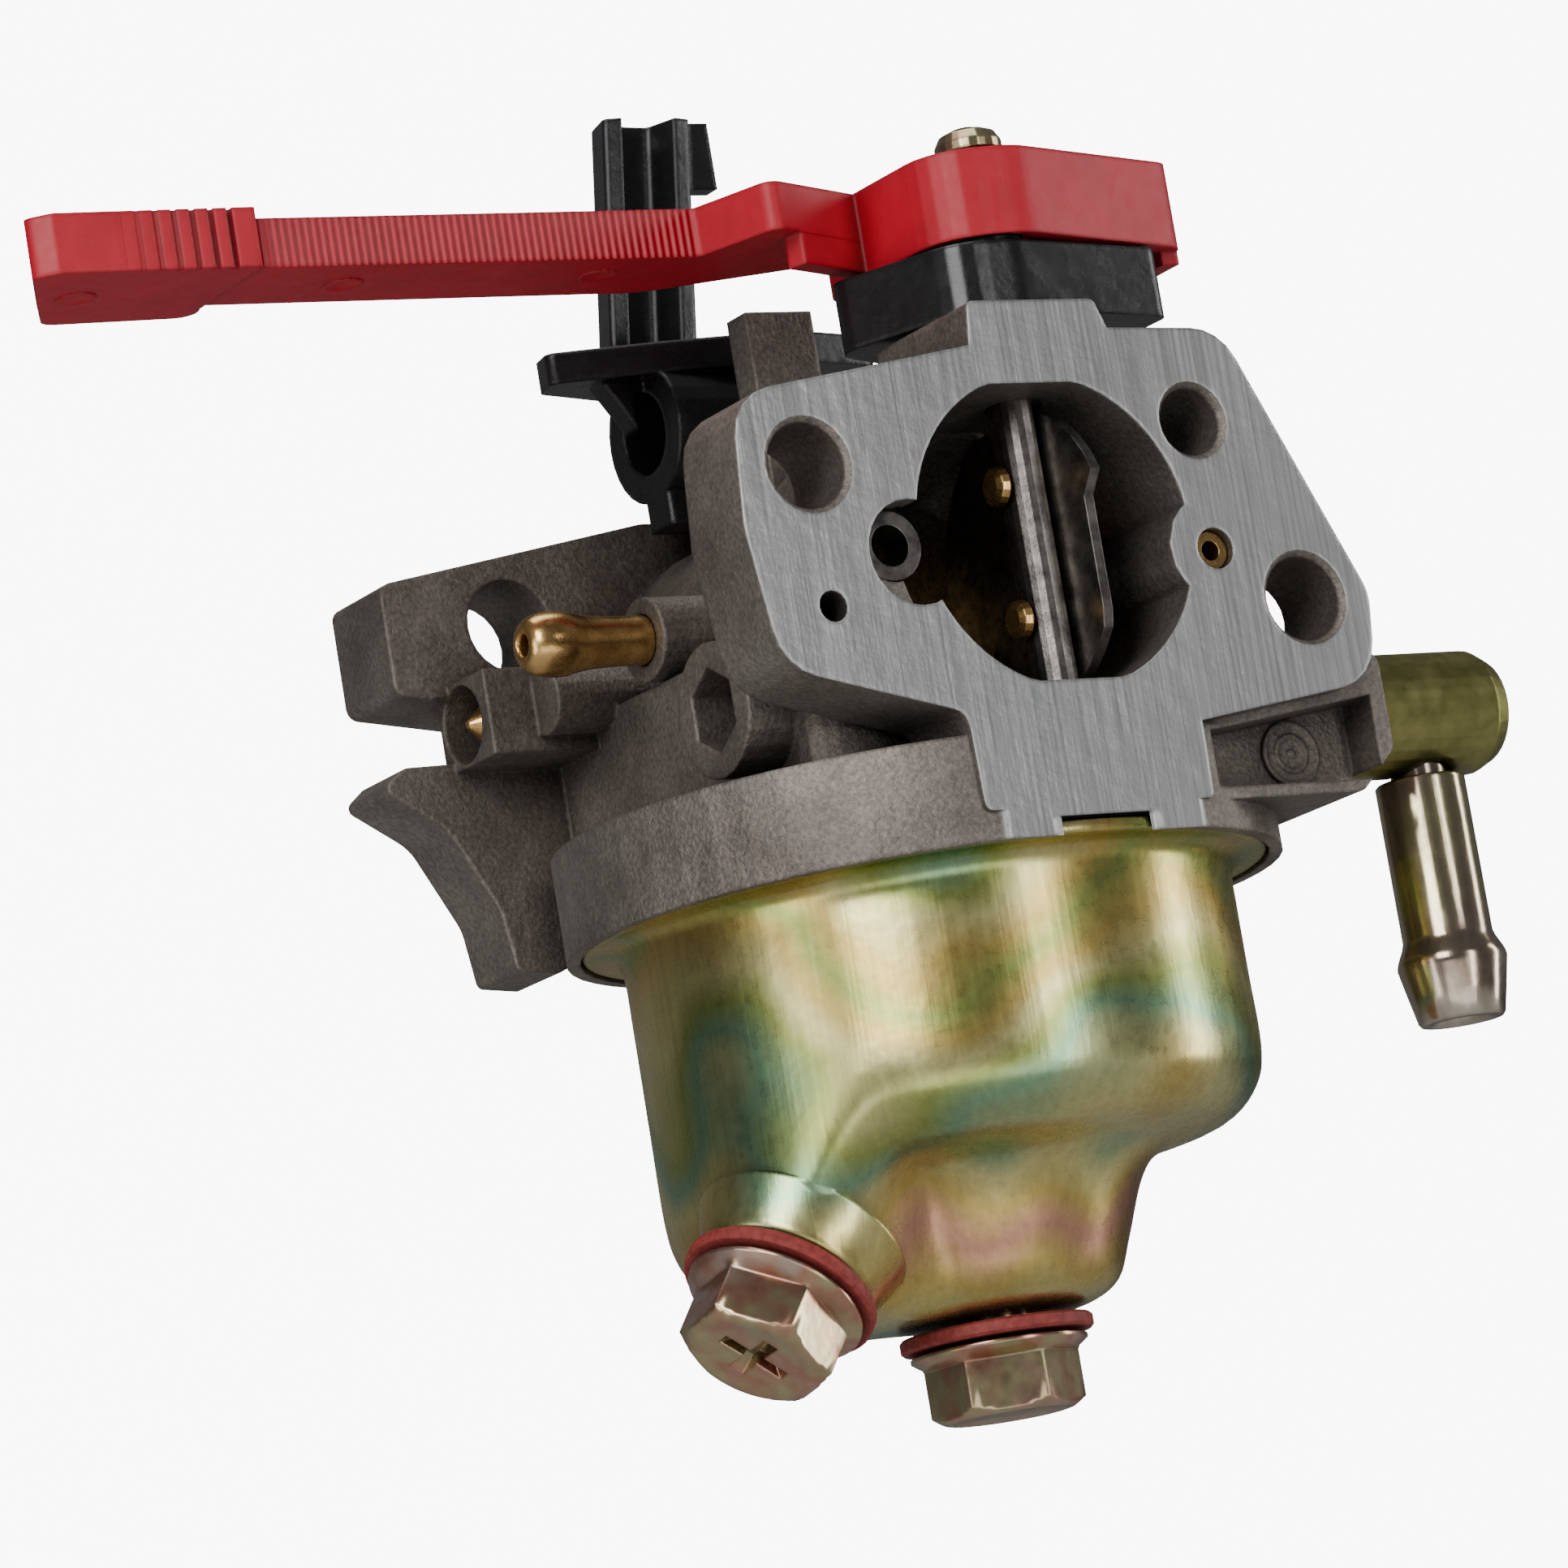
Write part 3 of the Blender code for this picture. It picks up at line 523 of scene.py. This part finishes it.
def swept(rows: Sequence[Sequence[Vector]]) -> bmesh.types.BMesh:
    """Skin over rings of points, each ring closed, capped at both ends.

    Args:
        rows: Rings with the same number of points.

    Returns:
        The mesh.
    """
    bm = bmesh.new()
    rings = [[bm.verts.new(p) for p in row] for row in rows]
    count = len(rings[0])
    for ring, following in zip(rings, rings[1:]):
        for i in range(count):
            j = (i + 1) % count
            bm.faces.new((ring[i], ring[j], following[j], following[i]))
    bm.faces.new(rings[0])
    bm.faces.new(rings[-1])
    return bm


def turned(section: Section, axis: Vector, centre: Vector, sides: int = 72,
           shape: Callable[[float, float], float] | None = None) -> bmesh.types.BMesh:
    """Solid of revolution, in millimetres.

    Args:
        section: Radius and height pairs.
        axis: Direction of the heights.
        centre: Point of height zero.
        sides: Points in each ring.
        shape: Limit of the radius for an angle and a height.

    Returns:
        The mesh.
    """
    rows = []
    for radius, height in section:
        row = []
        for i in range(sides):
            angle = math.tau * i / sides
            r = min(radius, shape(angle, height)) if shape else radius
            row.append(Vector((r * math.cos(angle), r * math.sin(angle), height)))
        rows.append(row)
    bm = swept(rows)
    bm.transform(tilted(axis, centre))
    return bm


def piece(name: str, bm: bmesh.types.BMesh, body: Body, slot: Slot, palette: Palette,
          replaced: Sequence[str] = ()) -> bpy.types.Object:
    """Make an object of a millimetre mesh, dress it and hang it on its body.

    Args:
        name: Name of the piece.
        bm: Mesh in drawing millimetres.
        body: The body that carries it.
        slot: Its material slot.
        palette: The part's materials.
        replaced: Frame nodes that it stands for.

    Returns:
        The object.
    """
    bm.transform(to_frame())
    bmesh.ops.recalc_face_normals(bm, faces=bm.faces)
    mesh = bpy.data.meshes.new(name)
    bm.to_mesh(mesh)
    bm.free()
    mesh.materials.append(palette[slot])
    mesh.shade_smooth()
    mesh.set_sharp_from_angle(angle=SHARP)
    obj = bpy.data.objects.new(name, mesh)
    bpy.context.scene.collection.objects.link(obj)
    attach(obj, body.value)
    if replaced:
        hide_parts(*replaced)
    log.info("%s: %d faces on %s", name, len(mesh.polygons), body.value)
    return obj


def dress(node: str, slot: Slot, palette: Palette) -> None:
    """Give a frame node its finish.

    Args:
        node: Name of the node.
        slot: Its material slot.
        palette: The part's materials.
    """
    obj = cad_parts[node]
    if not obj.data.materials:
        obj.data.materials.append(palette[slot])
    for index in range(len(obj.data.materials)):
        obj.data.materials[index] = palette[slot]
    log.info("%s: frame node in %s", node, slot.value)


def joined(*parts: bmesh.types.BMesh) -> bmesh.types.BMesh:
    """Put several meshes into one.

    Args:
        *parts: The meshes, which are used up.

    Returns:
        The mesh of them all.
    """
    whole = bmesh.new()
    for part in parts:
        mesh = bpy.data.meshes.new("part")
        part.to_mesh(mesh)
        part.free()
        whole.from_mesh(mesh)
        bpy.data.meshes.remove(mesh)
    return whole


# ---------------------------------------------------------------- sub-assemblies

@dataclass
class SubAssembly:
    """A group of frame nodes that are dressed together."""

    nodes: dict[str, Slot] = field(default_factory=dict)

    def dress(self, palette: Palette) -> None:
        """Give each frame node of the group its finish."""
        for node, slot in self.nodes.items():
            dress(node, slot, palette)

    def build(self, palette: Palette) -> None:
        """Build the group: its frame nodes, then its own meshes."""
        self.dress(palette)
        self.details(palette)

    def details(self, palette: Palette) -> None:
        """Add the group's own meshes; a plain group has none."""


@dataclass
class Casting(SubAssembly):
    """Cast body, with the mould maker's round insert in the pocket under the flange."""

    nodes: dict[str, Slot] = field(default_factory=lambda: {"carburetor_body": Slot.CASTING})
    insert: Point = (20.6, 5.2, -16.3)
    insert_sides: int = 48
    insert_section: Section = ((2.5, -0.4), (2.5, 0.18), (2.2, 0.22), (2.05, 0.05), (1.55, 0.05),
                               (1.45, 0.2), (1.15, 0.2), (1.05, 0.05), (0.4, 0.05), (0.3, 0.16),
                               (0.02, 0.16))

    def details(self, palette: Palette) -> None:
        """Add the insert: a shallow disc with two raised rings and a hub.

        Args:
            palette: The part's materials.
        """
        bm = turned(self.insert_section, Vector((0, -1, 0)), Vector(self.insert),
                    self.insert_sides)
        piece("mould_insert_mark", bm, Body.BODY, Slot.CASTING, palette)


@dataclass
class FloatBowl(SubAssembly):
    """Pressed bowl: a round cup that steps in above the bolt, with a deep lobe for the drain."""

    nodes: dict[str, Slot] = field(default_factory=lambda: {"bowl_gasket": Slot.RUBBER})
    centre: tuple[float, float] = (0.0, 25.6)
    lobe_at: float = 172.0
    stepped: Section = ((25.6, -21.25), (25.6, -22.1), (23.9, -22.3), (22.9, -23.4), (22.8, -26.0),
                        (22.8, -31.0), (22.8, -36.4), (22.0, -39.2), (19.6, -41.3), (14.6, -42.6),
                        (12.6, -44.4), (10.9, -48.6), (9.6, -51.6), (7.4, -52.9), (4.8, -53.2))
    lobed: Section = ((25.6, -21.25), (25.6, -22.1), (23.9, -22.3), (22.9, -23.4), (22.8, -28.0),
                      (22.8, -35.5), (22.8, -42.0), (22.4, -45.0), (21.3, -47.0), (19.0, -49.2),
                      (16.4, -51.0), (13.6, -52.2), (10.6, -52.9), (8.0, -53.1), (4.8, -53.2))
    lobe_half: float = 54.0
    lobe_fade: float = 26.0
    sides: int = 176
    steps: int = 5
    seat: Point = (-19.4, 21.6, -49.0)
    seat_axis: Point = (-0.61, -0.14, -0.78)
    pad_section: Section = ((7.9, -3.4), (7.5, -2.4), (7.1, -1.4), (6.8, -0.5), (6.6, 0.1),
                            (6.3, 0.45), (5.8, 0.5))
    pad_steps: int = 4
    pad_sides: int = 64
    bolt_z: float = -53.7
    seat_rise: float = 0.8

    def share(self, angle: float) -> float:
        """How much of the deep lobe the bowl has.

        Args:
            angle: Direction from the bowl's axis, in radians.

        Returns:
            A share from 0 to 1.
        """
        apart = abs((math.degrees(angle) - self.lobe_at + 180.0) % 360.0 - 180.0)
        t = max(0.0, min(1.0, (self.lobe_half - apart) / self.lobe_fade))
        return t * t * (3 - 2 * t)

    def shell(self) -> bmesh.types.BMesh:
        """Make the cup, as rings around its axis.

        Returns:
            The mesh in drawing millimetres.
        """
        stepped, lobed = smooth(self.stepped, self.steps), smooth(self.lobed, self.steps)
        rows = []
        for (r0, z0), (r1, z1) in zip(stepped, lobed):
            row = []
            for i in range(self.sides):
                angle = math.tau * i / self.sides
                share = self.share(angle)
                r, z = r0 + (r1 - r0) * share, z0 + (z1 - z0) * share
                row.append(Vector((self.centre[0] + r * math.cos(angle),
                                   self.centre[1] + r * math.sin(angle), z)))
            rows.append(row)
        return swept(rows)

    def pad(self) -> bmesh.types.BMesh:
        """Flat round pad under the drain bolt's washer, flaring into the cup."""
        return turned(smooth(self.pad_section, self.pad_steps),
                      Vector(self.seat_axis).normalized(), Vector(self.seat), self.pad_sides)

    def details(self, palette: Palette) -> None:
        """Add the pressed cup with its drain pad."""
        piece("pressed_bowl", joined(self.shell(), self.pad()), Body.BODY, Slot.BOWL, palette,
              ["float_bowl"])


@dataclass
class FlangeBolt(SubAssembly):
    """Hexagon flange bolt on a fibre washer."""

    name: str = "bowl_bolt"
    seat: Vector = field(default_factory=Vector)
    axis: Vector = field(default_factory=lambda: Vector((0, 0, -1)))
    across: float = 10.0
    recess: float = 0.0
    washer: float = 1.1
    gap: float = 0.15
    sides: int = 96
    washer_section: Section = ((3.3, 0.02), (7.0, 0.0), (7.2, 0.2), (7.2, 0.9), (7.0, 1.1),
                               (3.3, 1.1))
    section: Section = ((2.9, -6.0), (2.9, 0.1), (6.3, 0.1), (6.6, 0.25), (6.6, 0.5), (6.2, 0.8),
                        (5.9, 1.0), (5.85, 1.3), (5.85, 3.0), (5.85, 4.75), (5.6, 4.95),
                        (5.2, 5.15), (4.85, 5.32), (4.5, 5.4), (4.1, 5.36), (3.6, 5.2),
                        (0.02, 5.16))
    flats_from: float = 1.25
    chamfer_from: float = 4.75
    chamfer_slope: float = 1.5
    corner_r: float = 5.75
    slot_width: float = 0.42
    slot_depth: float = 1.9
    slot_at: float = 4.95
    slot_turn: float = 0.5
    slot_taper: tuple[float, float] = (0.45, 0.6)
    slot_sharp: float = math.radians(30)

    def hexagon(self, angle: float, height: float) -> float:
        """Limit the head to its flats, chamfered at the free end.

        Args:
            angle: Direction from the bolt's axis, in radians.
            height: Height above the flange's underside.

        Returns:
            The largest radius there.
        """
        if height < self.flats_from:
            return math.inf
        turn = (angle % (math.tau / 6)) - math.tau / 12
        corner = self.corner_r - max(0.0, height - self.chamfer_from) * self.chamfer_slope
        return min(self.across / 2 / math.cos(turn), corner)

    def details(self, palette: Palette) -> None:
        """Add the washer and the bolt, with the cross recess where it has one.

        Args:
            palette: The part's materials.
        """
        piece(f"{self.name}_fibre_ring", turned(self.washer_section, self.axis, self.seat),
              Body.BODY, Slot.FIBRE, palette, [f"{self.name}_washer"])
        start = self.seat + self.axis * (self.washer + self.gap)
        head = turned(self.section, self.axis, start, self.sides, self.hexagon)
        bolt = piece(f"{self.name}_head", head, Body.BODY, Slot.BOLT, palette, [self.name])
        if self.recess:
            self.carve(bolt, start)

    def carve(self, bolt: bpy.types.Object, start: Vector) -> None:
        """Cut the cross recess in the head's end.

        Args:
            bolt: The bolt.
            start: Point of its flange on the axis, in drawing millimetres.
        """
        for turn in (0.0, math.pi / 2):
            bm = bmesh.new()
            bmesh.ops.create_cube(bm, size=1.0)
            bmesh.ops.scale(bm, verts=bm.verts, vec=(
                self.recess * 2, self.recess * self.slot_width, self.slot_depth))
            for vert in bm.verts:
                if vert.co.z < 0:
                    vert.co.x *= self.slot_taper[0]
                    vert.co.y *= self.slot_taper[1]
            bm.transform(tilted(self.axis, start + self.axis * self.slot_at)
                         @ Matrix.Rotation(turn + self.slot_turn, 4, "Z"))
            bm.transform(to_frame())
            mesh = bpy.data.meshes.new("recess")
            bm.to_mesh(mesh)
            bm.free()
            cutter = bpy.data.objects.new("recess", mesh)
            bpy.context.scene.collection.objects.link(cutter)
            step = bolt.modifiers.new("recess", "BOOLEAN")
            step.operation = "DIFFERENCE"
            step.object = cutter
            bpy.context.view_layer.update()
            carved = bpy.data.meshes.new_from_object(bolt.evaluated_get(
                bpy.context.evaluated_depsgraph_get()))
            bolt.modifiers.remove(step)
            bolt.data = carved
            bpy.data.objects.remove(cutter)
        bolt.data.set_sharp_from_angle(angle=self.slot_sharp)


@dataclass
class ChokeControl(SubAssembly):
    """Choke shaft and plate, with the black base and red handle on top."""

    nodes: dict[str, Slot] = field(default_factory=lambda: {
        "choke_shaft": Slot.STEEL, "choke_plate": Slot.STEEL, "choke_plate_screw_lower": Slot.BRASS,
        "choke_plate_screw_upper": Slot.BRASS, "choke_lever_base": Slot.BLACK,
        "choke_handle": Slot.RED, "choke_handle_screw": Slot.BOLT, "choke_shaft_seal": Slot.RUBBER})
    marks: tuple[Point, ...] = ((-62.0, 25.5, 25.92), (-41.5, 23.6, 26.12), (-21.0, 22.4, 26.12))
    mark_section: Section = ((1.5, -0.3), (1.5, 0.1), (1.35, 0.16), (1.1, 0.05), (0.02, 0.02))
    mark_sides: int = 32

    def details(self, palette: Palette) -> None:
        """Add the round ejector marks under the handle.

        Args:
            palette: The part's materials.
        """
        for index, mark in enumerate(self.marks):
            bm = turned(self.mark_section, Vector((0, 0, -1)), Vector(mark), self.mark_sides)
            piece(f"ejector_mark_{index}", bm, Body.CHOKE, Slot.RED, palette)


@dataclass
class ThrottleControl(SubAssembly):
    """Throttle shaft and plate, with the black lever."""

    nodes: dict[str, Slot] = field(default_factory=lambda: {
        "throttle_shaft": Slot.STEEL, "throttle_plate": Slot.BRASS,
        "throttle_plate_screw_lower": Slot.BRASS, "throttle_plate_screw_upper": Slot.BRASS,
        "throttle_shaft_seal": Slot.RUBBER, "throttle_lever": Slot.BLACK})


@dataclass
class Metering(SubAssembly):
    """Jets, float, needle and mixture screw."""

    nodes: dict[str, Slot] = field(default_factory=lambda: {
        "float": Slot.FLOAT, "float_hinge_pin": Slot.STEEL, "needle_seat": Slot.BRASS,
        "inlet_needle": Slot.STEEL, "main_jet": Slot.BRASS, "emulsion_tube": Slot.BRASS,
        "main_air_jet": Slot.BRASS, "pilot_air_jet": Slot.STEEL, "mixture_screw": Slot.BRASS})


@dataclass
class FuelConnections(SubAssembly):
    """Fuel inlet fitting with its hose tube, and the primer nipple."""

    nodes: dict[str, Slot] = field(default_factory=lambda: {"fuel_inlet_fitting": Slot.FITTING})
    tube_at: tuple[float, float] = (35.3, 10.0)
    tube_section: Section = ((2.1, 16.2), (2.1, 17.9), (3.2, 17.92), (3.4, 18.1), (3.4, 24.0),
                             (3.4, 29.9), (3.55, 30.4), (3.95, 31.2), (4.1, 31.6), (4.15, 31.9),
                             (4.1, 32.2), (3.7, 34.2), (3.3, 36.1), (3.1, 36.35), (2.6, 36.4),
                             (2.2, 36.3), (1.8, 35.8), (1.7, 34.0), (1.7, 30.0))
    nipple_at: tuple[float, float] = (29.4, 0.1)
    nipple_section: Section = ((1.85, 13.8), (1.85, 18.2), (1.88, 20.5), (1.98, 22.6),
                               (2.2, 23.9), (2.43, 24.9), (2.45, 26.2), (2.25, 27.2),
                               (1.85, 27.9), (1.3, 28.25), (0.95, 28.2), (0.8, 27.8),
                               (0.8, 26.0))
    nipple_steps: int = 3
    nipple_sides: int = 48

    def details(self, palette: Palette) -> None:
        """Add the hose tube with its barb, and the primer nipple.

        Args:
            palette: The part's materials.
        """
        tube = turned(self.tube_section, Vector((0, 0, -1)), Vector((*self.tube_at, 0)))
        piece("hose_tube", tube, Body.BODY, Slot.TUBE, palette, ["fuel_hose_tube"])
        nipple = turned(smooth(self.nipple_section, self.nipple_steps), Vector((-1, 0, 0)),
                        Vector((0, *self.nipple_at)), self.nipple_sides)
        piece("brass_nipple", nipple, Body.BODY, Slot.BRASS, palette, ["primer_nipple"])


# ---------------------------------------------------------------- studio

@dataclass
class Light:
    """Soft rectangular lamp, aimed at the part."""

    name: str
    place: Point
    size: tuple[float, float]
    power: float

    def build(self, target: Vector) -> None:
        """Add the lamp.

        Args:
            target: Point it is aimed at, in metres.
        """
        data = bpy.data.lights.new(self.name, "AREA")
        data.shape = "RECTANGLE"
        data.size, data.size_y = self.size
        data.energy = self.power
        lamp = bpy.data.objects.new(self.name, data)
        lamp.location = self.place
        lamp.rotation_euler = (target - lamp.location).to_track_quat("-Z", "Y").to_euler()
        bpy.context.scene.collection.objects.link(lamp)


@dataclass
class Studio:
    """Camera, pale seamless floor and soft light."""

    azimuth: float = -31.7
    elevation: float = -10.0
    roll: float = 9.42
    target: Point = (-0.0107, -0.0287, -0.01225)
    distance: float = 0.5373
    lens: float = 167.7
    sensor: float = 36.0
    near: float = 0.05
    floor: float = -0.22
    floor_front: float = -2.0
    floor_back: float = 0.7
    bend: float = 0.5
    bend_steps: int = 12
    wall_top: float = 1.8
    half_width: float = 2.5
    surround: Colour = (0.9, 0.92, 0.95)
    surround_strength: float = 0.12
    lights: tuple[Light, ...] = (
        Light("key", (-0.60, -0.50, 0.30), (0.32, 0.45), 4.2),
        Light("front strip", (0.12, -0.75, -0.05), (0.12, 0.6), 1.5),
        Light("right strip", (0.65, -0.25, 0.05), (0.10, 0.6), 1.6),
        Light("top", (0.0, 0.0, 0.7), (0.5, 0.5), 2.4),
        Light("left fill", (-0.55, -0.10, -0.12), (0.2, 0.4), 0.9),
        Light("under", (-0.1, -0.3, -0.2), (0.4, 0.2), 0.3),
    )

    def camera(self) -> None:
        """Add the camera, rolled about its own axis."""
        a, e, r = (math.radians(v) for v in (self.azimuth, self.elevation, self.roll))
        back = Vector((math.sin(a) * math.cos(e), -math.cos(a) * math.cos(e), math.sin(e)))
        right = Vector((math.cos(a), math.sin(a), 0.0))
        up = back.cross(right)
        across = right * math.cos(r) - up * math.sin(r)
        upright = right * math.sin(r) + up * math.cos(r)
        data = bpy.data.cameras.new("camera")
        data.lens = self.lens
        data.sensor_width = self.sensor
        data.clip_start = self.near
        obj = bpy.data.objects.new("camera", data)
        turn = Matrix((across, upright, back)).transposed().to_4x4()
        obj.matrix_world = Matrix.Translation(Vector(self.target) + back * self.distance) @ turn
        bpy.context.scene.collection.objects.link(obj)
        bpy.context.scene.camera = obj

    def backdrop(self) -> None:
        """Add the floor, which curves up behind the part."""
        bm = bmesh.new()
        profile = [(self.floor_front, self.floor), (self.floor_back, self.floor)]
        for i in range(1, self.bend_steps + 1):
            t = math.pi / 2 * i / self.bend_steps
            profile.append((self.floor_back + self.bend * math.sin(t),
                            self.floor + self.bend - self.bend * math.cos(t)))
        profile.append((self.floor_back + self.bend, self.wall_top))
        rows = [[bm.verts.new((x, y, z)) for y, z in profile]
                for x in (-self.half_width, self.half_width)]
        for i in range(len(profile) - 1):
            bm.faces.new((rows[0][i], rows[1][i], rows[1][i + 1], rows[0][i + 1]))
        mesh = bpy.data.meshes.new("floor")
        bm.to_mesh(mesh)
        bm.free()
        mesh.shade_smooth()
        mesh.materials.append(BackdropFinish().material())
        obj = bpy.data.objects.new("floor", mesh)
        bpy.context.scene.collection.objects.link(obj)

    def build(self) -> None:
        """Add the camera, the floor, the lamps and a soft grey surround."""
        self.camera()
        self.backdrop()
        for light in self.lights:
            light.build(Vector(self.target))
        world = bpy.data.worlds.new("surround")
        world.use_nodes = True
        surround = world.node_tree.nodes["Background"]
        surround.inputs["Color"].default_value = (*self.surround, 1.0)
        surround.inputs["Strength"].default_value = self.surround_strength
        bpy.context.scene.world = world


def main() -> None:
    """Build every sub-assembly in order, then the studio."""
    logging.basicConfig(level=logging.INFO, format="%(name)s %(message)s")
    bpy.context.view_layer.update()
    palette = Palette()
    bowl = FloatBowl()
    drain = Vector(bowl.seat_axis).normalized()
    groups = [
        Casting(),
        bowl,
        FlangeBolt(name="bowl_bolt", seat=Vector((*bowl.centre, bowl.bolt_z))),
        FlangeBolt(name="drain_bolt", seat=Vector(bowl.seat) + drain * bowl.seat_rise,
                   axis=drain, recess=3.4),
        ChokeControl(),
        ThrottleControl(),
        Metering(),
        FuelConnections(),
    ]
    for group in groups:
        group.build(palette)
        log.info("%s built", type(group).__name__)
    Studio().build()


if __name__ == "__main__":
    main()
